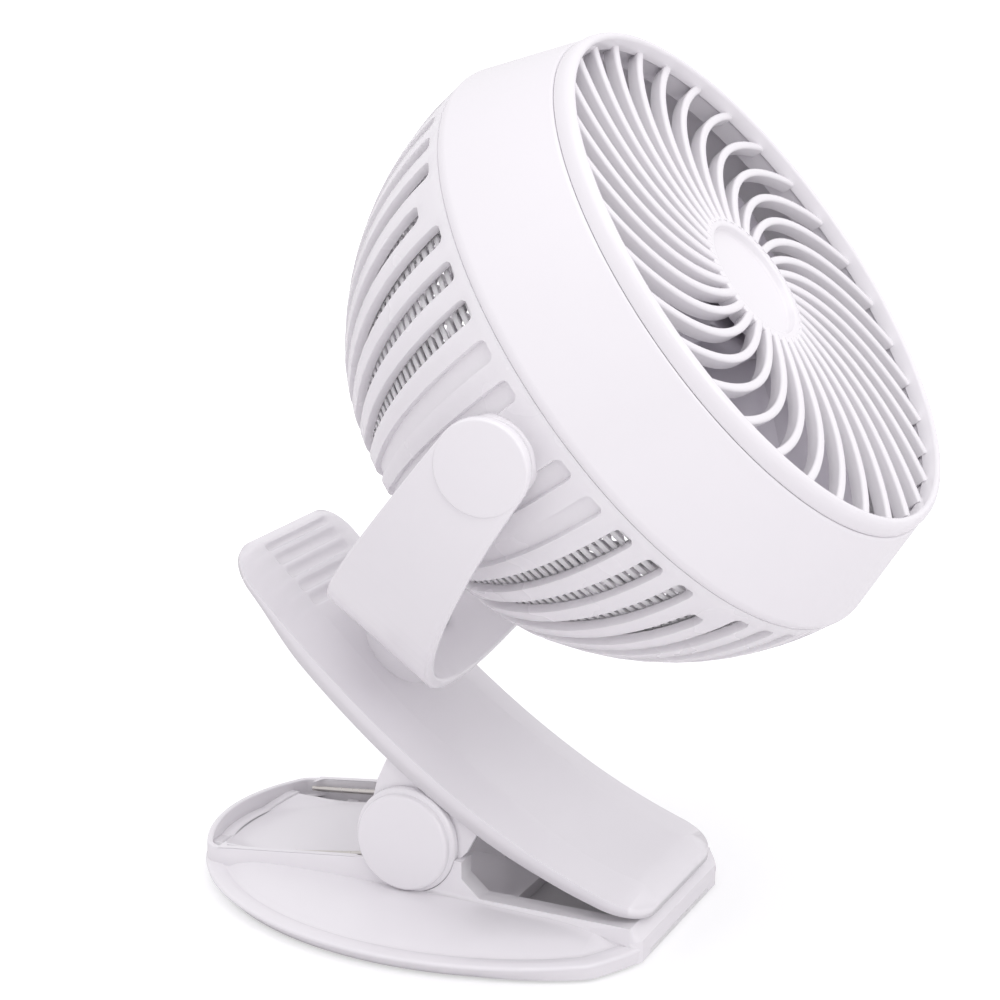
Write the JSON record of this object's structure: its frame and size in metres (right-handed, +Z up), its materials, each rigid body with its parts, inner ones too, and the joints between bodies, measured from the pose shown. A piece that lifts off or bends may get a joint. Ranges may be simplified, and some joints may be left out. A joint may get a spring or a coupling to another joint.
{
  "type": "clip fan",
  "caption": "Small fan with a caged bowl-shaped head, tilting in a bowed yoke that swivels on a sprung clip whose lower jaw is a flat oval base.",
  "frame": {"origin": "on the floor, at the middle of the base's underside, on the clip's plane of symmetry", "axes": "+X points along the clip to the jaw's tip, +Z is up, +Y is across, along the clip's axle"},
  "size_m": [0.1797, 0.163, 0.2116],
  "materials": {
    "shell_white": "gloss injection moulding, white with a cool grey cast",
    "inner_white": "satin moulding, inside the casing",
    "blade_grey": "smoke grey, slightly clear moulding",
    "pad_rubber": "soft pale grey rubber, matt",
    "spring_steel": "drawn wire, bright",
    "steel": "zinc plated",
    "brass": "turned",
    "washer_nylon": "natural nylon",
    "cell_foil": "foil pouch",
    "board_green": "solder mask",
    "switch_black": "moulded",
    "lens_clear": "clear light pipe"
  },
  "bodies": {
    "base": {"base_shell": "shell_white", "base_plate": "inner_white", "plate_screws": "steel", "foot_mat": "pad_rubber", "spring_cover": "shell_white", "clip_axle": "steel", "pivot_caps": "shell_white", "clip_spring_left": "spring_steel", "clip_spring_right": "spring_steel", "jaw_pad_lower": "pad_rubber"},
    "arm": {"arm_shell": "shell_white", "jaw_pad_upper": "pad_rubber", "swivel_seat": "shell_white", "swivel_bolt": "steel", "swivel_nut": "steel"},
    "yoke": {"yoke_bow": "shell_white", "tilt_caps": "shell_white", "swivel_washer": "washer_nylon"},
    "head": {"rear_shell": "shell_white", "front_band": "shell_white", "front_grille": "shell_white", "inner_guard": "inner_white", "motor_mount": "inner_white", "control_pod": "inner_white", "motor_can": "steel", "motor_bushes": "brass", "battery_cell": "cell_foil", "battery_cradle": "inner_white", "circuit_board": "board_green", "board_posts": "inner_white", "switch_body": "switch_black", "indicator_lens": "lens_clear", "charging_socket": "steel", "housing_screws": "steel", "tilt_screws": "steel", "tilt_inserts": "brass", "tilt_washers": "washer_nylon"},
    "rotor": {"impeller": "blade_grey", "motor_shaft": "steel", "armature": "steel", "shaft_insert": "brass"},
    "button": {"power_button": "shell_white"}
  },
  "joints": [
    {"name": "clip_open", "type": "hinge", "parent": "base", "child": "arm", "pos_m": [-0.0042, 0, 0.0207], "axis": [0, -1, 0], "range_deg": [0, 30], "stiffness_Nm_per_rad": 0.5, "springref_deg": -45.84, "deforming": ["clip_spring_left", "clip_spring_right"]},
    {"name": "yoke_swivel", "type": "hinge", "parent": "arm", "child": "yoke", "pos_m": [0.03543, 0, 0.13266], "axis": [0.5962, 0, 0.8028], "continuous": true},
    {"name": "head_tilt", "type": "hinge", "parent": "yoke", "child": "head", "pos_m": [0.03543, 0, 0.13266], "axis": [-0.049, 0.9981, 0.0364], "range_deg": [-80, 80]},
    {"name": "fan_spin", "type": "hinge", "parent": "head", "child": "rotor", "pos_m": [0.04767, 0.00025, 0.14217], "axis": [0.7898, 0.0164, 0.6132], "continuous": true},
    {"name": "button_press", "type": "slide", "parent": "head", "child": "button", "axis": [0.7898, 0.0164, 0.6132], "range_m": [0, 0.0008], "stiffness_N_per_m": 800, "springref_m": -0.0005}
  ]
}
